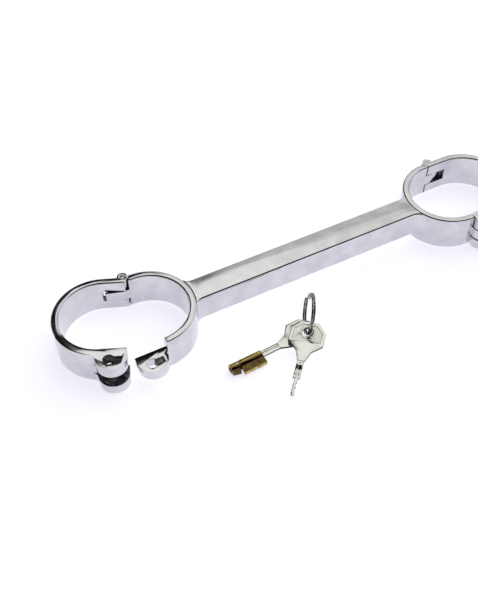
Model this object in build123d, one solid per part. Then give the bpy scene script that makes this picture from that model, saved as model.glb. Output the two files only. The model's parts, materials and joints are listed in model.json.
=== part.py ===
from build123d import *
import os
from math import asin, cos, degrees, radians, sin, tan

# Rigid-bar handcuffs: two oval cuffs on a rectangular bar, each with a hinged arm, and two lock plugs.
# Millimetres. Origin at the centre of the bar's top face, +X along the bar, +Y to the hinge side, +Z up.

# Bar and bands
bar_width = 16.0
bar_height = 18.0
bar_flare = 6.0
band_height = 22.6
wall = 4.2
inner_radius = 23.2
straight = 16.0
cuff_centre_x = 109.0
cuff_centre_y = 0.4
rim_round = 1.1
bar_round = 1.6
split_gap = 0.8

# Hinge, in the cuff's own frame: its centre at the middle of the wrist opening, +X towards the bar
hinge_split_x = 6.0
knuckle_end_x = -7.5
knuckle_top = -8.0
knuckle_bottom = -15.0
knuckle_gap = 0.5
pin_x = 4.0
pin_stand_off = -0.2
pin_radius = 1.5
pin_clearance = 0.05
barrel_radius = 3.1
barrel_gap = 0.3
tongue_taper = 18.0
left_arm_open = 22.5

# Clasp lugs
lug_radius = 8.7
lug_x = -1.8
lug_stand_off = 0.8
lug_split_x = 6.7
lug_neck_round = 4.0
upper_lug_bottom = -7.7
tongue_top = -8.5
tongue_bottom = -15.0
lower_lug_top = -16.2
lug_clearance = 0.5
clasp_joint_x = -13.5

# Keyhole through the lugs
keyhole_x = -3.0
keyhole_inset = 7.2
keyhole_radius = 3.2
keyhole_slot_end = 7.1
keyhole_slot_width = 3.6
pocket_radius = 5.1
pocket_depth = 4.0

# Lock plug: built standing, key face at z = 0, fin towards +X
case_radius = 2.75
case_length = 13.9
fin_reach = 6.6
fin_thickness = 3.0
fin_round = 0.4
core_radius = 2.05
core_clearance = 0.03
keyway_width = 1.15
keyway_low = -1.45
keyway_high = 1.15
keyway_depth = 12.4
tail_radius = 1.3
tail_length = 3.4
cam_gap = 0.1
cam_length = 5.9
cam_notch = 1.4
cam_reach = 4.8
cam_end_reach = 3.6
cam_hollow_radius = 1.7
cam_hollow_depth = 2.2
cam_pin_radius = 0.45
chamber_radius = 0.68
chamber_count = 4
chamber_first = 3.0
chamber_pitch = 2.7
pin_play = 0.03
key_pin_low = 1.25
driver_length = 1.3
spring_wire = 0.16
spring_turns = 4
spring_gap = 0.05
plug_length = 0.7

# Key: blade along -X from the bow, flat face up, cuts towards -Y
bow_half_width = 10.0
bow_length = 18.8
bow_flat_start = 4.7
bow_flat_end = 13.0
bow_top_half = 5.0
neck_half_width = 4.5
bow_thickness = 1.5
bow_panel_inset = 1.9
bow_panel_depth = 0.3
bow_panel_start = 6.4
boss_width = 0.9
ring_hole_u = 12.0
ring_hole_radius = 3.2
neck_length = 6.5
blade_half_width = 2.0
blade_thickness = 1.0
blade_shoulder = 17.5
blade_end = 28.3
bitting_low = -0.95
bitting_high = 0.95
first_cut = 20.5
cut_pitch = 2.1
cut_ramp = 0.7
cut_depths = (0.65, 0.85)
groove_width = 0.9
groove_depth = 0.3

# Split ring
ring_radius = 11.6
ring_wire = 1.1
ring_turn_gap = 0.08

# Where the loose pieces lie
floor_z = -band_height
lock_face = (-53.6, -44.75)
lock_heading = 3.5
spare_lock_face = (122.0, -58.0)
spare_lock_heading = 18.0
key_shoulder_gap = 0.5
key2_bow_point = (-32.3, -54.65)
key2_heading = 47.6
key_stack_gap = 0.2
tip_lift = 0.05
ring_centre = (-19.6, -38.4)
ring_heading = 63.5
ring_lean = 8.0
ring_lift = 0.1

outer_radius = inner_radius + wall
hinge_y = outer_radius + pin_stand_off
tall = 2 * band_height


def band_outline(offset):
    return SlotCenterToCenter(straight, 2 * (inner_radius + offset))


def slab(profile, top, bottom):
    return extrude(Plane.XY.offset(bottom) * profile, amount=top - bottom)


def block(x_low, x_high, y_low, y_high, top, bottom):
    size = (x_high - x_low, y_high - y_low)
    middle = ((x_low + x_high) / 2, (y_low + y_high) / 2)
    return slab(Pos(*middle) * Rectangle(*size), top, bottom)


def post(x, y, radius, top, bottom):
    return slab(Pos(x, y) * Circle(radius), top, bottom)


def band():
    return slab(band_outline(wall) - band_outline(0), 0, -band_height)


def rounded_rims(solid):
    rims = solid.edges().group_by(Axis.Z)[-1] + solid.edges().group_by(Axis.Z)[0]
    return fillet(rims, rim_round)


def keyhole_cut(top, bottom):
    y = -(inner_radius + keyhole_inset)
    hole = post(keyhole_x, y, keyhole_radius, top, bottom)
    half = keyhole_slot_width / 2
    return hole + block(keyhole_x, keyhole_x + keyhole_slot_end, y - half, y + half, top, bottom)


def lug_outline(neck):
    depth = wall + lug_stand_off
    disc = Pos(lug_x, -inner_radius - depth) * Circle(lug_radius)
    tab_left = 0 if neck else -lug_radius
    tab_middle = lug_x + (tab_left + lug_radius) / 2
    tab = Pos(tab_middle, -inner_radius - depth / 2) * Rectangle(lug_radius - tab_left, depth)
    lug = disc + tab - Pos(lug_x, lug_radius - inner_radius) * Rectangle(3 * lug_radius, 2 * lug_radius)
    if neck:
        root = band_outline(wall) - band_outline(0)
        root = root & Pos(-straight, -inner_radius) * Rectangle(2 * straight, inner_radius)
        lug = lug + root
        corner = lug.vertices().sort_by_distance((lug_x - lug_radius, -outer_radius))[0]
        lug = fillet(corner, lug_neck_round)
    return lug


def tongue_outline():
    """The knuckle's tail, flush outside and tapered inside, which stays in the notch as the arm opens."""
    taper_x = pin_x - (outer_radius - inner_radius) / 2
    tail = outer_radius - inner_radius - (taper_x - knuckle_end_x) * tan(radians(tongue_taper))
    outside = [(hinge_split_x, outer_radius), (knuckle_end_x, outer_radius)]
    inside = [(knuckle_end_x, outer_radius - tail), (taper_x, inner_radius), (hinge_split_x, inner_radius)]
    return make_face(Polyline(outside + inside, close=True))


def fixed_half():
    right = block(0, 2 * outer_radius, -outer_radius, outer_radius, 0, -band_height)
    body = rounded_rims(band()) & right
    back_trim = block(-1, hinge_split_x, 0, tall, tall, -tall)
    front_end = lug_split_x + split_gap
    body = body - back_trim - block(-1, front_end, -tall, 0, tall, tongue_top)
    body = body - block(-1, front_end, -tall, 0, tongue_bottom, -tall)
    body = body + slab(tongue_outline(), knuckle_top, knuckle_bottom)
    body = body + post(pin_x, hinge_y, barrel_radius, knuckle_top, knuckle_bottom)
    clear = barrel_radius + barrel_gap
    body = body - post(pin_x, hinge_y, clear, 0, knuckle_top)
    body = body - post(pin_x, hinge_y, clear, knuckle_bottom, -band_height)
    body = body + slab(lug_outline(False), tongue_top, tongue_bottom)
    body = body - post(pin_x, hinge_y, pin_radius, 0, -band_height)
    return body - keyhole_cut(tongue_top, tongue_bottom)


def whole_arm():
    left = block(-2 * outer_radius, lug_split_x, -outer_radius, outer_radius, 0, -band_height)
    body = rounded_rims(band()) & left
    body = body - block(hinge_split_x - split_gap, 2 * lug_split_x, 0, tall, tall, -tall)
    notch_end = knuckle_end_x - split_gap
    notch = block(notch_end, tall, 0, tall, knuckle_top + knuckle_gap, knuckle_bottom - knuckle_gap)
    pocket = block(lug_x - lug_radius - lug_clearance, tall, -tall, 0, upper_lug_bottom, lower_lug_top)
    outline = lug_outline(True)
    lugs = slab(outline, 0, upper_lug_bottom) + slab(outline, lower_lug_top, -band_height)
    lugs = lugs & block(-tall, lug_split_x, -tall, 0, 0, -band_height)
    body = body + lugs
    for top, bottom in ((0, knuckle_top + knuckle_gap), (knuckle_bottom - knuckle_gap, -band_height)):
        body = body + post(pin_x, hinge_y, barrel_radius, top, bottom)
    body = body - notch - pocket
    body = body - post(pin_x, hinge_y, pin_radius + pin_clearance, 0, -band_height)
    body = body - keyhole_cut(0, upper_lug_bottom)
    y = -(inner_radius + keyhole_inset)
    return body - post(keyhole_x, y, pocket_radius, lower_lug_top, lower_lug_top - pocket_depth)


def clasp_region():
    return block(clasp_joint_x, tall, -tall, 0, tall, -tall)


def arm():
    return whole_arm() - clasp_region()


def clasp():
    """The lug block, welded to the end of the arm."""
    return whole_arm() & clasp_region()


def hinge_pin():
    return post(pin_x, hinge_y, pin_radius, 0, -band_height)


def spreader_bar():
    span = 2 * cuff_centre_x
    outline = Rectangle(span, bar_width)
    for side in (-1, 1):
        outline = outline + Pos(side * cuff_centre_x, cuff_centre_y) * band_outline(wall)
    corners = [v for v in outline.vertices() if abs(abs(v.Y) - bar_width / 2) < 0.01]
    outline = fillet(corners, bar_flare)
    for side in (-1, 1):
        outline = outline - Pos(side * cuff_centre_x, cuff_centre_y) * band_outline(wall)
    body = slab(outline, 0, -bar_height)
    long_edges = body.edges().filter_by(Axis.X)
    return fillet(long_edges, bar_round)


def place_left(solid):
    return Pos(-cuff_centre_x, cuff_centre_y, 0) * solid


def place_right(solid):
    return mirror(place_left(solid), about=Plane.YZ)


def opened(solid, angle):
    hinge = Axis((pin_x, hinge_y, 0), (0, 0, 1))
    return solid.rotate(hinge, -angle)


def lock_frame(face, heading):
    turn = radians(heading)
    along = (cos(turn), sin(turn), 0)
    across = (sin(turn), -cos(turn), 0)
    return Plane(origin=(*face, floor_z + case_radius), x_dir=across, z_dir=along).location


def chamber_depths():
    return [-chamber_first - chamber_pitch * i for i in range(chamber_count)]


def across_post(depth, radius, start, end):
    return Pos(start, 0, depth) * Rot(0, 90, 0) * extrude(Circle(radius), amount=end - start)


def lock_case():
    body = post(0, 0, case_radius, 0, -case_length)
    fin = block(0, fin_reach, -fin_thickness / 2, fin_thickness / 2, 0, -case_length)
    fin = fillet(fin.edges().filter_by(Axis.Z).group_by(Axis.X)[-1], fin_round)
    body = body + fin - post(0, 0, core_radius + core_clearance, 0, -case_length)
    for depth in chamber_depths():
        body = body - across_post(depth, chamber_radius + pin_play, 0, fin_reach + 1)
    return body


def lock_core():
    body = post(0, 0, core_radius, 0, -case_length - cam_gap)
    body = body - block(keyway_low, keyway_high, -keyway_width / 2, keyway_width / 2, 0, -keyway_depth)
    for depth in chamber_depths():
        body = body - across_post(depth, chamber_radius + pin_play, 0, core_radius + 1)
    tail_top = -case_length - cam_gap
    body = body + post(0, 0, tail_radius, tail_top, tail_top - tail_length)
    return body - cam_pin_solid(cam_pin_radius)


def cam_pin_solid(radius):
    depth = -case_length - cam_gap - tail_length / 2
    return Pos(0, -case_radius, depth) * Rot(-90, 0, 0) * extrude(Circle(radius), amount=2 * case_radius)


def lock_cam():
    top = -case_length - cam_gap
    bottom = top - cam_length
    body = post(0, 0, case_radius, top, bottom)
    half = fin_thickness / 2
    notch = top - cam_notch
    points = [(0, notch), (cam_reach, notch), (cam_end_reach, bottom), (0, bottom)]
    fin = make_face(Polyline(points, close=True))
    fin = Pos(0, half, 0) * extrude(Plane.XZ * fin, amount=2 * half)
    body = body + fin - post(0, 0, tail_radius, top, top - tail_length)
    body = body - post(0, 0, cam_hollow_radius, bottom + cam_hollow_depth, bottom)
    return body - cam_pin_solid(cam_pin_radius)


def cam_pin():
    return cam_pin_solid(cam_pin_radius) & post(0, 0, case_radius, -case_length - cam_gap, -tall)


def group(pieces):
    return Compound(children=list(pieces))


def key_pins():
    end = core_radius - pin_play
    return group(across_post(d, chamber_radius, key_pin_low, end) for d in chamber_depths())


def driver_pins():
    start = core_radius + core_clearance
    return group(across_post(d, chamber_radius, start, start + driver_length) for d in chamber_depths())


def spring_solid(depth):
    start = core_radius + core_clearance + driver_length + spring_wire + spring_gap
    room = fin_reach - plug_length - start - spring_wire - spring_gap
    path = Helix(room / spring_turns, room, chamber_radius - spring_wire - pin_play)
    wire = sweep((path ^ 0) * Circle(spring_wire), path=path)
    return Pos(start, 0, depth) * Rot(0, 90, 0) * wire


def springs():
    return group(spring_solid(d) for d in chamber_depths())


def chamber_plugs():
    radius = chamber_radius + pin_play
    return group(across_post(d, radius, fin_reach - plug_length, fin_reach) for d in chamber_depths())


def bow_outline(inset):
    wide = bow_half_width - inset
    top = bow_length - inset
    low = inset
    neck = neck_half_width - inset * tan(radians(22.5))
    crown = bow_top_half - inset * tan(radians(22.5))
    half = [(low, neck), (bow_flat_start, wide), (bow_flat_end, wide), (top, crown)]
    return make_face(Polyline(half + [(x, -y) for x, y in reversed(half)], close=True))


def key():
    half = bow_thickness / 2
    body = slab(bow_outline(0), half, -half)
    panel = bow_outline(bow_panel_inset) - Pos(ring_hole_u, 0) * Circle(ring_hole_radius + boss_width)
    panel = panel & Pos(bow_panel_start + bow_length / 2, 0) * Rectangle(bow_length, 2 * bow_half_width)
    for top in (half, bow_panel_depth - half):
        body = body - slab(panel, top, top - bow_panel_depth)
    neck = [(1, neck_half_width), (0, neck_half_width), (-neck_length, blade_half_width)]
    neck = make_face(Polyline(neck + [(x, -y) for x, y in reversed(neck)], close=True))
    body = body + slab(neck, half, -half)
    thin = blade_thickness / 2
    shank = Rectangle(blade_shoulder - neck_length, 2 * blade_half_width)
    blade = Pos(-(neck_length + blade_shoulder) / 2, 0) * shank
    body = body + slab(blade, thin, -thin) + slab(bitting_outline(), thin, -thin)
    groove_y = (bitting_low + bitting_high) / 2
    groove = (-blade_shoulder, -neck_length - 1, groove_y - groove_width / 2, groove_y + groove_width / 2)
    body = body - block(*groove, thin, thin - groove_depth)
    body = body - block(*groove, groove_depth - thin, -thin)
    return body - post(ring_hole_u, 0, ring_hole_radius, half, -half)


def bitting_outline():
    start = -blade_shoulder + 1
    cuts = [(start, bitting_low)]
    for i, depth in enumerate(cut_depths):
        x = -first_cut - i * (cut_pitch + cut_ramp)
        floor = bitting_low + depth
        cuts += [(x, bitting_low), (x - cut_ramp, floor)]
        cuts += [(x - cut_pitch + cut_ramp, floor), (x - cut_pitch, bitting_low)]
    nose = bitting_high
    tip = [(nose - blade_end, bitting_low), (-blade_end, 0), (nose - blade_end, nose), (start, nose)]
    return make_face(Polyline(cuts + tip, close=True))


def key_in_lock():
    turn = radians(lock_heading)
    reach = blade_shoulder + key_shoulder_gap
    point = (lock_face[0] + reach * cos(turn), lock_face[1] + reach * sin(turn), floor_z + case_radius)
    return Pos(*point) * Rot(0, 0, lock_heading) * key()


def key_on_top():
    low = floor_z + case_radius + bow_thickness + key_stack_gap
    slope = degrees(asin((low - floor_z - blade_thickness / 2 - tip_lift) / blade_end))
    return Pos(*key2_bow_point, low) * Rot(0, 0, key2_heading) * Rot(0, -slope, 0) * key()


def split_ring():
    pitch = ring_wire + ring_turn_gap
    path = Helix(pitch, 2 * pitch, ring_radius)
    ring = sweep((path ^ 0) * Circle(ring_wire / 2), path=path)
    centre = (*ring_centre, floor_z + ring_radius + ring_wire / 2 + ring_lift)
    return Pos(*centre) * Rot(0, 0, ring_heading) * Rot(90 + ring_lean, 0, 0) * Pos(0, 0, -pitch) * ring


lock_pieces = {
    "case": lock_case,
    "core": lock_core,
    "cam": lock_cam,
    "cam_pin": cam_pin,
    "key_pins": key_pins,
    "driver_pins": driver_pins,
    "springs": springs,
    "chamber_plugs": chamber_plugs,
}

made = {}
made["left_arm"] = place_left(opened(arm(), left_arm_open))
made["right_arm"] = place_right(arm())
made["left_clasp"] = place_left(opened(clasp(), left_arm_open))
made["right_clasp"] = place_right(clasp())
made["left_fixed_half"] = place_left(fixed_half())
made["right_fixed_half"] = place_right(fixed_half())
made["left_hinge_pin"] = place_left(hinge_pin())
made["right_hinge_pin"] = place_right(hinge_pin())
made["spreader_bar"] = spreader_bar()

for name, maker in lock_pieces.items():
    made[f"lock_{name}"] = lock_frame(lock_face, lock_heading) * maker()
    made[f"spare_lock_{name}"] = lock_frame(spare_lock_face, spare_lock_heading) * maker()
made["key_in_lock"] = key_in_lock()
made["key_on_ring"] = key_on_top()
made["split_ring"] = split_ring()

os.makedirs("parts", exist_ok=True)
for node, shape in made.items():
    export_step(shape, f"parts/{node}.step")
    print(node, round(shape.volume, 1), len(shape.solids()))
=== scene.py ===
import json
from math import cos, radians, sin

import bmesh
import bpy
from mathutils import Euler, Matrix, Vector


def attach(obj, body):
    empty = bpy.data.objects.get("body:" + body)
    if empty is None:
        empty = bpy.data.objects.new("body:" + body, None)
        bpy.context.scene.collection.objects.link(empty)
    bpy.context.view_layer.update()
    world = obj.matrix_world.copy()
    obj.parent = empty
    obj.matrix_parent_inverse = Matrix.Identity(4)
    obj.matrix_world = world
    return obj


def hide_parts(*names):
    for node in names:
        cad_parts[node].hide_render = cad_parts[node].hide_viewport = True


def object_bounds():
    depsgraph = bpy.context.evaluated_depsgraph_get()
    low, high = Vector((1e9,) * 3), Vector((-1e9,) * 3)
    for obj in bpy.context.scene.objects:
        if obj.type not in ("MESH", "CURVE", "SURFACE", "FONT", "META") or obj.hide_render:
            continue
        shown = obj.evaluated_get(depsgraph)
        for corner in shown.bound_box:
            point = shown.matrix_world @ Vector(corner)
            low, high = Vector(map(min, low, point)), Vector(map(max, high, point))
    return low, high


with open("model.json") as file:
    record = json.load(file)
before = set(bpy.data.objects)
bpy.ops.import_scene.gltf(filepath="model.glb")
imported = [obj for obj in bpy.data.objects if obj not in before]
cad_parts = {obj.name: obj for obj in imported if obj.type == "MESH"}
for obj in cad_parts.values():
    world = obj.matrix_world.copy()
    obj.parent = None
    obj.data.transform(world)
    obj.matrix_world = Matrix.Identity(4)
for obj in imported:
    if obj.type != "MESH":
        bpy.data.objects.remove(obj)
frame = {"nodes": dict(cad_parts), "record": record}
cad_low, cad_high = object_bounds()

# Rigid-bar handcuffs with their lock plugs and keys. Metres, in the CAD frame:
# origin at the centre of the bar's top face, +X along the bar, +Y to the hinge side, +Z up.

MM = 0.001

# Camera, floor and studio
CAMERA_AT = Vector((-0.192784, -0.297059, 0.370835))
CAMERA_TURN = radians(26.525)
CAMERA_TILT = radians(50.0)
CAMERA_ROLL = radians(-0.893)
CAMERA_LENS = 52.19
FLOOR_SIZE = 12.0
FLOOR_DROP = 0.02 * MM
CEILING_LEAN = (0.5, 0.25)
CEILING_EDGE = (0.965, 1.015)
OPEN_SIDE_EDGE = (0.265, 0.305)
OPEN_FRONT_EDGE = (-0.25, 0.05)
DIM_CORNER = (0.28, 0.42)
SKIRTING_EDGE = (0.12, 0.24)

# Cuffs and bar, as drawn in the CAD, in millimetres
CUFF_X = 109.0
CUFF_Y = 0.4
HALF_STRAIGHT = 8.0
RIM_MIDDLE = 25.3
RIM_CROWN = 24.3
CROWN_INSIDE = -1.1
CROWN_OUTSIDE = 3.1
BAR_HALF = 9.0
RIM_DOME = 0.024
BAR_DOME = 0.0058
JOIN_START = 3.0
JOIN_END = 10.0
BAR_SIDE = (0.0, -1.0)
BAR_FLARE = (16.0, 11.0)
BAND_HEIGHT = 22.6
LUG_AT = Vector((-1.8, -28.2))
LUG_CORE = 7.9
SLOT_FROM = -1.0
CLASP_JOINT = -13.5
JOINT_MARGIN = 0.01
RIM_SKIN = 1.5
ENDS_FROM = 20.0
LUG_FROM = -27.9
SQUARE = 0.99
LEVEL = 0.999
SEALED = ("key_pins", "driver_pins", "cam_pin")

# Split ring
RING_AT = (-19.6 * MM, -38.4 * MM, -10.35 * MM)
RING_TURN = (radians(98.0), 0.0, radians(63.5))
RING_RADIUS = 11.6 * MM
RING_WIRE = 0.55 * MM
RING_PITCH = 1.18 * MM
RING_TURNS = 2.0
COIL_STEPS = 96
WIRE_SIDES = 20

# Lock plugs and keys: where each one's own axes lie
LOCK_TURN = (0.0, 0.0, radians(3.5))
SPARE_TURN = (0.0, 0.0, radians(18.0))
SPARE_LOCK_AT = (122.0 * MM, -58.0 * MM, -19.85 * MM)
# Edges of the painted shade band along the brass plug's side, in millimetres across it.
SHADE_BAND_TOP = (0.1, -1.1)
SHADE_BAND_END = (-6.5, -6.2)
KEY_IN_LOCK_AT = (-35.634 * MM, -43.651 * MM, -19.85 * MM)
KEY_ON_RING_AT = (-32.3 * MM, -54.65 * MM, -18.15 * MM)
KEY_ON_RING_TURN = (0.0, radians(-7.921), radians(47.6))
PANEL_INDEX = 1
EDGE_INDEX = 2
PANEL_LIFT = 0.45 * MM
PANEL_MARGIN = 0.03 * MM
BLADE_START = (-6.5, -9.0)
SCOOP_SPAN = (-12.5, -8.5)
KEY_SCOOP = 0.9
CHATTER = 0.4

# Edges
BREAK_ANGLE = radians(32)
BREAK_STEPS = 3
SMALL_BREAK = 0.2
RIM_BREAK = 0.5
LUG_BREAK = 1.0
MERGE = 0.001 * MM
FLAT_ANGLE = radians(0.4)
EDGE_BREAK = {
    "polished_steel": 0.70 * MM,
    "pin_steel": 0.10 * MM,
    "brass": 0.14 * MM,
    "key_nickel": 0.24 * MM,
}


# ---------------------------------------------------------------- shader wiring

class Wire:
    """An output socket of a shader tree that can be added, multiplied and compared."""

    def __init__(self, shader, node, output=0):
        self.shader = shader
        self.node = node
        self.socket = node.outputs[output]

    def output(self, number):
        return Wire(self.shader, self.node, number)

    def maths(self, operation, other=0.0):
        return self.shader.maths(operation, self, other)

    def __add__(self, other):
        return self.maths("ADD", other)

    def __sub__(self, other):
        return self.maths("SUBTRACT", other)

    def __rsub__(self, other):
        return self.shader.maths("SUBTRACT", other, self)

    def __mul__(self, other):
        return self.maths("MULTIPLY", other)

    def __pow__(self, other):
        return self.maths("POWER", other)

    def __abs__(self):
        return self.maths("ABSOLUTE")

    def at_least(self, other):
        return self.maths("MAXIMUM", other)

    def at_most(self, other):
        return self.maths("MINIMUM", other)

    def rise(self, start, end):
        """Goes smoothly from 0 at start to 1 at end."""
        sockets = {"Value": self, "From Min": start, "From Max": end}
        return self.shader.node("ShaderNodeMapRange", {"interpolation_type": "SMOOTHSTEP"}, sockets)

    __radd__ = __add__
    __rmul__ = __mul__


class Shader:
    """One material or world, with its nodes made by one method."""

    def __init__(self, owner):
        owner.use_nodes = True
        self.owner = owner
        self.tree = owner.node_tree
        self.tree.nodes.clear()

    def node(self, kind, settings=None, sockets=None, output=0):
        made = self.tree.nodes.new(kind)
        for name, value in (settings or {}).items():
            setattr(made, name, value)
        for name, value in (sockets or {}).items():
            if isinstance(value, Wire):
                self.tree.links.new(value.socket, made.inputs[name])
            else:
                made.inputs[name].default_value = value
        return Wire(self, made, output) if len(made.outputs) else made

    def maths(self, operation, a, b):
        return self.node("ShaderNodeMath", {"operation": operation}, {0: a, 1: b})

    def blend(self, factor, first, second):
        sockets = {0: factor, 6: first, 7: second}
        return self.node("ShaderNodeMix", {"data_type": "RGBA"}, sockets, output=2)

    def place(self, at=(0, 0, 0), turn=(0, 0, 0)):
        """Object coordinates seen from a piece's own origin and axes."""
        here = self.node("ShaderNodeTexCoord", output=3)
        sockets = {"Vector": here, "Location": at, "Rotation": turn}
        return self.node("ShaderNodeMapping", {"vector_type": "TEXTURE"}, sockets)

    def axes(self, vector):
        split = self.node("ShaderNodeSeparateXYZ", {}, {"Vector": vector})
        return split, split.output(1), split.output(2)

    def noise(self, where, size, stretch=(1, 1, 1), detail=3.0):
        """Soft noise between 0 and 1 whose patches are about size metres across."""
        scale = tuple(s / size for s in stretch)
        spread = self.node("ShaderNodeMapping", {}, {"Vector": where, "Scale": scale})
        sockets = {"Vector": spread, "Scale": 1.0, "Detail": detail}
        return self.node("ShaderNodeTexNoise", {}, sockets)

    def bump(self, height):
        """A bump from a height in millimetres."""
        return self.node("ShaderNodeBump", {}, {"Height": height, "Distance": MM, "Strength": 1.0})

    def metal(self, colour, roughness, normal):
        sockets = {"Base Color": colour, "Metallic": 1.0, "Roughness": roughness}
        sockets["Normal"] = normal
        surface = self.node("ShaderNodeBsdfPrincipled", {}, sockets)
        self.node("ShaderNodeOutputMaterial", {}, {"Surface": surface})
        return self.owner


def new_shader(name):
    return Shader(bpy.data.materials.new(name))


# ---------------------------------------------------------------- finishes

def dome_depth(s, where):
    """How far the rims and the bar's top are buffed below their crown lines, in millimetres."""
    x, y, _ = s.axes(where)
    out = abs(x) * 1000 - CUFF_X
    beyond = (abs(out) - HALF_STRAIGHT).at_least(0.0)
    across = y * 1000 - CUFF_Y
    off_rim = (beyond * beyond + across * across) ** 0.5 - RIM_CROWN
    side = off_rim.at_least(CROWN_INSIDE).at_most(CROWN_OUTSIDE)
    rim = side * side * RIM_DOME
    bar = abs(y * 1000).at_most(BAR_HALF) ** 2 * BAR_DOME
    beside_bar = out.rise(*BAR_SIDE) * abs(across).rise(*BAR_FLARE)
    in_bar = off_rim.rise(JOIN_START, JOIN_END) * beside_bar
    return rim * (1 - in_bar) + bar * in_bar


def polished_steel(name, at=(0, 0, 0), turn=(0, 0, 0)):
    """Buffed stainless: domed rims, nearly a mirror, with faint buffing lines and handling haze."""
    s = new_shader(name)
    where = s.place(at, turn)
    haze = s.noise(where, 11 * MM, detail=5.0)
    lines = s.noise(where, 0.5 * MM, stretch=(0.03, 1.0, 1.0), detail=2.0)
    ripple = s.noise(where, 7 * MM, stretch=(0.5, 1.0, 1.0), detail=1.0)
    pits = s.noise(where, 0.35 * MM, detail=2.0)
    colour = s.blend(haze.rise(0.3, 0.7), (0.57, 0.565, 0.60, 1), (0.68, 0.67, 0.70, 1))
    roughness = 0.10 + haze.rise(0.35, 0.75) * 0.10 + lines * 0.03
    height = ripple * 0.03 + lines * 0.0008 + pits * 0.0006 - dome_depth(s, where)
    return s.metal(colour, roughness, s.bump(height))


def painted_recess_shade():
    """Faces inside the gaps and keyholes: painted shade, near black and mottled, on unpolished
    steel with cutter marks.
    """
    s = new_shader("painted_recess_shade")
    where = s.place()
    shade_mottle = s.noise(where, 2.2 * MM, detail=4.0)
    marks = s.noise(where, 0.2 * MM, stretch=(1.0, 1.0, 0.1), detail=2.0)
    # Painted shade: the near-black colour stands in for the shade inside cuts, gaps and keyholes.
    colour = s.blend(shade_mottle.rise(0.3, 0.7), (0.035, 0.033, 0.038, 1), (0.19, 0.175, 0.20, 1))
    return s.metal(colour, 0.34 + marks * 0.14, s.bump(marks * 0.008))


def pin_steel():
    """Ground pin ends with turning marks."""
    s = new_shader("pin_steel")
    grain = s.noise(s.place(), 0.25 * MM, detail=3.0)
    colour = s.blend(grain, (0.44, 0.44, 0.46, 1), (0.62, 0.62, 0.64, 1))
    return s.metal(colour, 0.20 + grain * 0.14, s.bump(grain * 0.004))


def spring_steel():
    """Drawn spring wire."""
    s = new_shader("spring_steel")
    grain = s.noise(s.place(), 0.3 * MM)
    colour = s.blend(grain, (0.42, 0.42, 0.44, 1), (0.55, 0.55, 0.57, 1))
    return s.metal(colour, 0.25 + grain * 0.1, s.bump(grain * 0.003))


def brass(name, at, turn):
    """Drawn brass bar, turned and tumbled, with draw lines, random tarnish, and a painted shade
    band beside the fin.
    """
    s = new_shader(name)
    where = s.place(at, turn)
    across = s.axes(where)[1] * 1000
    tarnish_and_shade = s.noise(where, 2.6 * MM, detail=4.0).rise(0.32, 0.72)
    lines = s.noise(where, 0.16 * MM, stretch=(0.04, 1.0, 1.0), detail=2.0)
    dents = s.noise(where, 0.9 * MM, detail=2.0)
    # Painted shade: a dark brown band along the plug's side beside the fin, mottled by the tarnish
    # noise.
    shade_band = across.rise(*SHADE_BAND_TOP) * across.rise(*SHADE_BAND_END) * (0.75 + tarnish_and_shade * 0.25)
    bright = s.blend(tarnish_and_shade, (0.30, 0.20, 0.055, 1), (0.58, 0.47, 0.17, 1))
    colour = s.blend(shade_band, bright, (0.055, 0.032, 0.012, 1))
    roughness = 0.15 + tarnish_and_shade * 0.08 + lines * 0.08
    return s.metal(colour, roughness, s.bump(lines * 0.004 + dents * 0.02))


def key_nickel(name, at, turn, scoop):
    """Nickel plate on a stamped blank, milled along the blade and scooped where it starts."""
    s = new_shader(name)
    where = s.place(at, turn)
    along, across, _ = s.axes(where)
    grain = s.noise(where, 0.20 * MM, detail=2.0)
    rub = s.noise(where, 5 * MM, detail=4.0)
    milled = s.noise(where, 0.12 * MM, stretch=(0.05, 1.0, 1.0), detail=1.0)
    blade = (along * 1000).rise(*BLADE_START)
    run_out = (along * 1000).rise(*SCOOP_SPAN) * scoop
    bands = s.noise(where, 1.5 * MM, stretch=(1.0, 0.1, 0.1), detail=1.0)
    chatter = bands * blade * (CHATTER * scoop)
    waves = s.noise(where, 3.5 * MM, detail=1.0)
    colour = s.blend(rub, (0.62, 0.62, 0.59, 1), (0.72, 0.72, 0.69, 1))
    height = grain * 0.003 + milled * blade * 0.012 + waves * 0.05 + run_out + chatter
    return s.metal(colour, 0.13 + rub * 0.10, s.bump(height))


def key_panel(name, at, turn):
    """The bow's sunk panel, left with the fine stipple of the die."""
    s = new_shader(name)
    where = s.place(at, turn)
    stipple = s.noise(where, 0.28 * MM, detail=3.0)
    rub = s.noise(where, 3 * MM, detail=3.0)
    colour = s.blend(rub, (0.66, 0.66, 0.62, 1), (0.78, 0.78, 0.74, 1))
    return s.metal(colour, 0.24 + stipple * 0.12, s.bump(stipple * 0.045))


def key_edge_shade():
    """The blank's sheared edge and cut bitting: bare and dull, coloured near black as painted
    shade.
    """
    s = new_shader("key_edge_shade")
    grain = s.noise(s.place(), 0.22 * MM, detail=3.0)
    # Painted shade: near black where the key's edges and bevels would lie in shadow.
    colour = s.blend(grain, (0.015, 0.015, 0.014, 1), (0.10, 0.10, 0.092, 1))
    return s.metal(colour, 0.32 + grain * 0.12, s.bump(grain * 0.01))


def ring_steel():
    """Plated wire, mottled at random between near black and grey."""
    s = new_shader("ring_steel")
    rub = s.noise(s.place(), 1.5 * MM, detail=3.0)
    colour = s.blend(rub.rise(0.4, 0.6), (0.05, 0.05, 0.05, 1), (0.42, 0.42, 0.41, 1))
    return s.metal(colour, 0.10 + rub * 0.10, s.bump(rub * 0.006))


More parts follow.
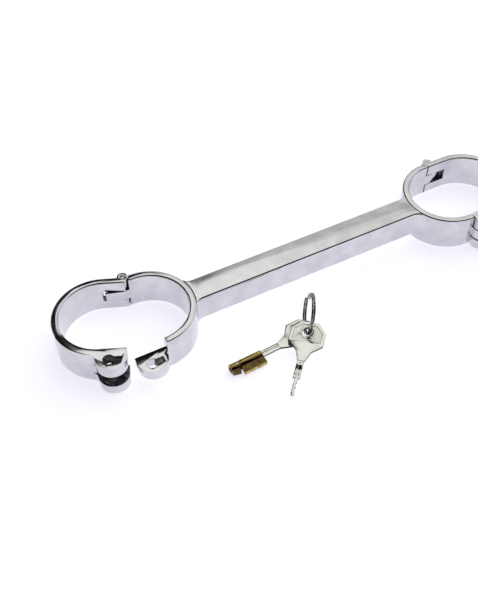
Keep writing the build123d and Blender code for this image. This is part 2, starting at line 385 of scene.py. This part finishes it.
def floor_paint():
    """A plain white table top, lit through."""
    s = new_shader("floor_paint")
    grain = s.noise(s.place(), 60 * MM, detail=2.0)
    colour = s.blend(grain, (0.80, 0.80, 0.81, 1), (0.82, 0.82, 0.82, 1))
    sockets = {"Base Color": colour, "Roughness": 0.8, "Specular IOR Level": 0.0}
    sockets.update({"Emission Color": (0.92, 0.91, 1.0, 1), "Emission Strength": 0.82})
    surface = s.node("ShaderNodeBsdfPrincipled", {}, sockets)
    s.node("ShaderNodeOutputMaterial", {}, {"Surface": surface})
    return s.owner


def joint_place(name):
    joint = next(j for j in frame["record"]["behaviour"]["joints"] if j["name"] == name)
    return Vector(joint["pos_m"]), radians(joint["range_deg"][1])


def arm_axes():
    """Where the closed arm's own axes lie now that the left arm stands open."""
    hinge, opened = joint_place("left_arm_hinge")
    turn = Euler((0, 0, -opened))
    shift = hinge - turn.to_matrix() @ hinge
    return tuple(shift), tuple(turn)


steel = polished_steel("polished_steel")
lock_brass = brass("lock_brass", KEY_IN_LOCK_AT, LOCK_TURN)
FINISHES = {
    "polished_steel": steel,
    "pin_steel": pin_steel(),
    "spring_steel": spring_steel(),
    "brass": lock_brass,
    "key_nickel": key_nickel("key_nickel", KEY_IN_LOCK_AT, LOCK_TURN, 0.0),
    "ring_steel": ring_steel(),
}
OWN_FINISH = {
    "left_arm": polished_steel("left_arm_steel", *arm_axes()),
    "key_on_ring": key_nickel("key_nickel_turned", KEY_ON_RING_AT, KEY_ON_RING_TURN, KEY_SCOOP),
}
spare_brass = brass("spare_lock_brass", SPARE_LOCK_AT, SPARE_TURN)
PANELS = {
    "key_in_lock": key_panel("key_panel", KEY_IN_LOCK_AT, LOCK_TURN),
    "key_on_ring": key_panel("key_panel_turned", KEY_ON_RING_AT, KEY_ON_RING_TURN),
}
# The painted shade for the keys' sheared edges and bevels.
KEY_EDGE_SHADE = key_edge_shade()
# The painted shade for faces in the steel's cuts, gaps and keyholes.
RECESS_SHADE = painted_recess_shade()
NODE_SLOT = {row["node"]: row["material_slot"] for row in frame["record"]["subparts"]}


def finish_of(node):
    if node in OWN_FINISH:
        return OWN_FINISH[node]
    if node.startswith("spare_lock") and NODE_SLOT[node] == "brass":
        return spare_brass
    return FINISHES[NODE_SLOT[node]]


# ---------------------------------------------------------------- pieces from the frame

def link(obj):
    bpy.context.scene.collection.objects.link(obj)
    return obj


def body_of(node):
    bodies = frame["record"]["behaviour"]["bodies"]
    return next(name for name, nodes in bodies.items() if node in nodes)


def dress(obj, finish):
    obj.data.materials.clear()
    obj.data.materials.append(finish)


def applied(obj):
    """Turns an object with modifiers into a plain mesh object of the same name."""
    bpy.context.view_layer.update()
    graph = bpy.context.evaluated_depsgraph_get()
    mesh = bpy.data.meshes.new_from_object(obj.evaluated_get(graph))
    obj.modifiers.clear()
    obj.data = mesh
    return obj


def declare(piece, *nodes):
    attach(piece, body_of(nodes[0]))
    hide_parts(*nodes)


def mark_key(form, node):
    """Gives the faces sunk in a key's bow the second material, and its sheared edges the third, a
    painted dark shade.
    """
    axis = max(form.faces, key=lambda face: face.calc_area()).normal.copy()
    level = [face for face in form.faces if abs(face.normal.dot(axis)) > LEVEL]
    lifts = {face: face.calc_center_median().dot(axis) for face in level}
    middle = (max(lifts.values()) + min(lifts.values())) / 2
    for face in form.faces:
        if face not in lifts:
            face.material_index = EDGE_INDEX
        elif abs(abs(lifts[face] - middle) - PANEL_LIFT) < PANEL_MARGIN:
            face.material_index = PANEL_INDEX


def in_cuff(point, node):
    """A point in its own cuff's millimetres, with the arm shut.

    The wrist opening's middle is the origin and +X is towards the bar.
    """
    if node == "left_arm":
        shift, turn = arm_axes()
        point = Euler(turn).to_matrix().transposed() @ (point - Vector(shift))
    return Vector((CUFF_X - abs(point.x) / MM, point.y / MM - CUFF_Y, point.z / MM))


def facing(face, node):
    """A face's middle and normal in its own cuff."""
    middle = face.calc_center_median()
    near, far = in_cuff(middle, node), in_cuff(middle + face.normal * MM, node)
    return near, far - near


def in_recess(middle, normal, is_arm):
    """Whether a steel face lies in a saw cut, a clasp gap or a keyhole."""
    between_rims = -BAND_HEIGHT + RIM_SKIN < middle.z < -RIM_SKIN
    at_hinge = middle.y > ENDS_FROM
    if not at_hinge and middle.y > -ENDS_FROM:
        return False
    if abs(normal.z) > SQUARE:
        return between_rims and (is_arm or at_hinge)
    if at_hinge and abs(normal.x) > SQUARE:
        return True
    if is_arm and normal.x > SQUARE and middle.x < LUG_AT.x:
        return between_rims
    in_lug = (middle.xy - LUG_AT).length < LUG_CORE and middle.y < -RIM_MIDDLE
    return in_lug and (is_arm or middle.x > SLOT_FROM)


def mark_steel(form, node):
    """Gives faces in cuts and keyholes the second material, the painted recess shade, and each
    sharp edge its break.
    """
    is_arm = node.endswith("arm")
    weights = form.edges.layers.float.new("bevel_weight_edge")
    for face in form.faces:
        face.material_index = int(in_recess(*facing(face, node), is_arm))
    for edge in form.edges:
        if len(edge.link_faces) != 2 or edge.calc_face_angle() < BREAK_ANGLE:
            continue
        middle = in_cuff((edge.verts[0].co + edge.verts[1].co) / 2, node)
        if any(face.material_index for face in edge.link_faces):
            edge[weights] = SMALL_BREAK
        else:
            edge[weights] = LUG_BREAK if middle.y < LUG_FROM else RIM_BREAK


def drop_weld(form, node):
    """Takes out the two faces where the clasp is welded to the arm."""
    def in_weld(face):
        middle, normal = facing(face, node)
        at_joint = abs(middle.x - CLASP_JOINT) < JOINT_MARGIN and middle.y < 0
        return at_joint and abs(normal.x) > SQUARE

    weld = [face for face in form.faces if in_weld(face)]
    bmesh.ops.delete(form, geom=weld, context="FACES")


def finished_copy(nodes, name, edge, finishes, mark):
    """A copy of CAD nodes with flats joined, sharp edges broken and shading smooth."""
    mesh = bpy.data.meshes.new(name)
    form = bmesh.new()
    for node in nodes:
        form.from_mesh(frame["nodes"][node].data)
    if len(nodes) > 1:
        drop_weld(form, nodes[0])
    bmesh.ops.remove_doubles(form, verts=form.verts, dist=MERGE)
    flats = {"angle_limit": FLAT_ANGLE, "verts": form.verts, "edges": form.edges}
    bmesh.ops.dissolve_limit(form, **flats)
    for face in form.faces:
        face.smooth = True
        face.material_index = 0
    if mark:
        mark(form, nodes[0])
    form.to_mesh(mesh)
    form.free()
    for finish in finishes:
        mesh.materials.append(finish)
    obj = link(bpy.data.objects.new(name, mesh))
    bevel = obj.modifiers.new("edge", "BEVEL")
    bevel.width = edge
    bevel.segments = BREAK_STEPS
    bevel.limit_method = "WEIGHT" if mark == mark_steel else "ANGLE"
    bevel.angle_limit = BREAK_ANGLE
    bevel.harden_normals = True
    bevel.miter_outer = "MITER_ARC"
    # A key's bevelled edges also take the painted shade, as dark outlines.
    if mark == mark_key:
        bevel.material = EDGE_INDEX
    return applied(obj)


def metal_piece(*nodes):
    slot = NODE_SLOT[nodes[0]]
    finishes, mark = [finish_of(nodes[0])], None
    if slot == "polished_steel":
        # The steel's second finish is the painted shade for its cuts and keyholes.
        finishes, mark = finishes + [RECESS_SHADE], mark_steel
    elif slot == "key_nickel":
        finishes, mark = finishes + [PANELS[nodes[0]], KEY_EDGE_SHADE], mark_key
    piece = finished_copy(nodes, nodes[0] + "_finished", EDGE_BREAK[slot], finishes, mark)
    declare(piece, *nodes)


# ---------------------------------------------------------------- split ring

def ring_tree(finish):
    """Two close turns of round wire, swept along a spiral."""
    tree = bpy.data.node_groups.new("split_ring_coil", "GeometryNodeTree")
    for name in ("Coil Radius", "Wire Radius", "Pitch", "Turns"):
        tree.interface.new_socket(name, in_out="INPUT", socket_type="NodeSocketFloat")
    tree.interface.new_socket("Geometry", in_out="OUTPUT", socket_type="NodeSocketGeometry")

    def node(kind, settings=None, values=None):
        made = tree.nodes.new(kind)
        for name, value in (settings or {}).items():
            setattr(made, name, value)
        for name, value in (values or {}).items():
            if isinstance(value, bpy.types.NodeSocket):
                tree.links.new(value, made.inputs[name])
            else:
                made.inputs[name].default_value = value
        return made

    given = node("NodeGroupInput")
    radius, wire_radius, pitch, turns = given.outputs[:4]
    height = node("ShaderNodeMath", {"operation": "MULTIPLY"}, {0: pitch, 1: turns})
    coil_values = {"Resolution": COIL_STEPS, "Rotations": turns, "Start Radius": radius,
                   "End Radius": radius, "Height": height.outputs[0]}
    coil = node("GeometryNodeCurveSpiral", {}, coil_values)
    section_values = {"Resolution": WIRE_SIDES, "Radius": wire_radius}
    section = node("GeometryNodeCurvePrimitiveCircle", {}, section_values)
    sweep = {"Curve": coil.outputs[0], "Profile Curve": section.outputs[0], "Fill Caps": True}
    wire = node("GeometryNodeCurveToMesh", {}, sweep)
    solid = node("GeometryNodeRealizeInstances", {}, {"Geometry": wire.outputs[0]})
    dressing = {"Geometry": solid.outputs[0], "Material": finish}
    dressed = node("GeometryNodeSetMaterial", {}, dressing)
    tree.links.new(dressed.outputs[0], node("NodeGroupOutput").inputs["Geometry"])
    return tree


def split_ring():
    name = "split_ring_finished"
    obj = link(bpy.data.objects.new(name, bpy.data.meshes.new(name)))
    coil = obj.modifiers.new("coil", "NODES")
    coil.node_group = ring_tree(FINISHES["ring_steel"])
    sizes = {"Coil Radius": RING_RADIUS, "Wire Radius": RING_WIRE,
             "Pitch": RING_PITCH, "Turns": RING_TURNS}
    for item in coil.node_group.interface.items_tree:
        if item.in_out == "INPUT":
            coil[item.identifier] = sizes[item.name]
    applied(obj)
    stand = Matrix.Translation(RING_AT) @ Euler(RING_TURN).to_matrix().to_4x4()
    obj.data.transform(stand @ Matrix.Translation((0, 0, -RING_PITCH)))
    form = bmesh.new()
    form.from_mesh(obj.data)
    bmesh.ops.remove_doubles(form, verts=form.verts, dist=MERGE)
    bmesh.ops.recalc_face_normals(form, faces=form.faces)
    for face in form.faces:
        face.smooth = len(face.verts) == 4
    form.to_mesh(obj.data)
    form.free()
    declare(obj, "split_ring")


for node, obj in frame["nodes"].items():
    dress(obj, finish_of(node))
    if NODE_SLOT[node] in EDGE_BREAK and not node.endswith(SEALED + ("arm", "clasp")):
        metal_piece(node)
metal_piece("left_arm", "left_clasp")
metal_piece("right_arm", "right_clasp")
split_ring()


# ---------------------------------------------------------------- camera, floor and light

def add_camera():
    camera = link(bpy.data.objects.new("camera", bpy.data.cameras.new("camera")))
    camera.data.lens = CAMERA_LENS
    camera.data.sensor_width = 36.0
    level = cos(CAMERA_TILT)
    forward = Vector((sin(CAMERA_TURN) * level, cos(CAMERA_TURN) * level, -sin(CAMERA_TILT)))
    camera.location = CAMERA_AT
    look = forward.to_track_quat("-Z", "Y").to_matrix().to_4x4()
    look = look @ Matrix.Rotation(CAMERA_ROLL, 4, "Z")
    camera.rotation_euler = look.to_euler()
    camera.data.clip_start = 0.01
    bpy.context.scene.camera = camera


def add_floor():
    half = FLOOR_SIZE / 2
    corners = [(-half, -half), (half, -half), (half, half), (-half, half)]
    height = cad_low.z - FLOOR_DROP
    mesh = bpy.data.meshes.new("floor")
    mesh.from_pydata([(x, y, height) for x, y in corners], [], [(0, 1, 2, 3)])
    mesh.materials.append(floor_paint())
    floor = link(bpy.data.objects.new("floor", mesh))


def add_world():
    """A tent: bright ceiling, dark drapes, open and pale to the far right and at the floor."""
    world = bpy.data.worlds.new("studio")
    bpy.context.scene.world = world
    s = Shader(world)
    sky = s.node("ShaderNodeTexCoord")
    x, y, up = s.axes(sky)
    away = x * sin(CAMERA_TURN) + y * cos(CAMERA_TURN)
    lean = up + away * CEILING_LEAN[1] + x * CEILING_LEAN[0]
    ceiling = lean.rise(*CEILING_EDGE)
    open_side = x.rise(*OPEN_SIDE_EDGE) * away.rise(*OPEN_FRONT_EDGE)
    skirting = 1 - up.rise(*SKIRTING_EDGE)
    drape = s.blend(open_side, (0.006, 0.007, 0.007, 1), (0.62, 0.64, 0.60, 1))
    lit = s.blend(x.rise(*DIM_CORNER), (1.18, 1.20, 1.12, 1), (0.94, 0.96, 0.90, 1))
    high = s.blend(ceiling, drape, lit)
    colour = s.blend(skirting, high, (1.0, 1.0, 1.06, 1))
    surface = s.node("ShaderNodeBackground", {}, {"Color": colour, "Strength": 1.0})
    s.node("ShaderNodeOutputWorld", {}, {"Surface": surface})


add_camera()
add_floor()
add_world()
bpy.context.scene.view_settings.view_transform = "Standard"
